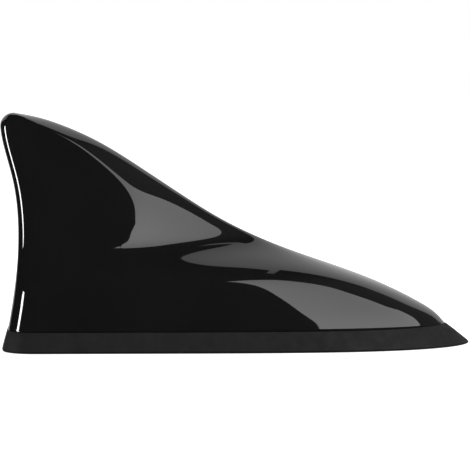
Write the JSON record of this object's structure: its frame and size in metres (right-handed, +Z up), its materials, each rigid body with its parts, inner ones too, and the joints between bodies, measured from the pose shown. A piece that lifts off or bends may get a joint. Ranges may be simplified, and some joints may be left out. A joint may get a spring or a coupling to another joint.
{
  "type": "car tv antenna",
  "caption": "Gloss black shark-fin roof antenna on a flared rubber gasket, with an upright radiator board and amplifier inside and a cable gland in its adhesive base.",
  "frame": {"origin": "on the roof plane at the pad's underside, under the middle of the overall length", "axes": "+X to the nose, +Y to the car's left, +Z up from the roof"},
  "size_m": [0.16, 0.0694, 0.079],
  "materials": {
    "shell": "polished black lacquer",
    "gasket": "matte black rubber",
    "foam": "matte foam",
    "plate": "fine moulded grain",
    "grommet": "matte",
    "screw": "zinc plated",
    "board": "solder resist",
    "tin": "tinned",
    "socket": "plated",
    "copper": "enamelled copper",
    "ceramic": "ceramic"
  },
  "bodies": {
    "root": {"outer_shell": "shell", "rubber_gasket": "gasket", "adhesive_pad": "foam", "base_plate": "plate", "cable_grommet": "grommet", "base_screws": "screw", "amplifier_board": "board", "board_screws": "screw", "shield_can": "tin", "coax_socket": "socket", "radiator_board": "board", "radiator_brackets": "tin", "filter_coils": "copper", "filter_capacitors": "ceramic"}
  },
  "joints": []
}
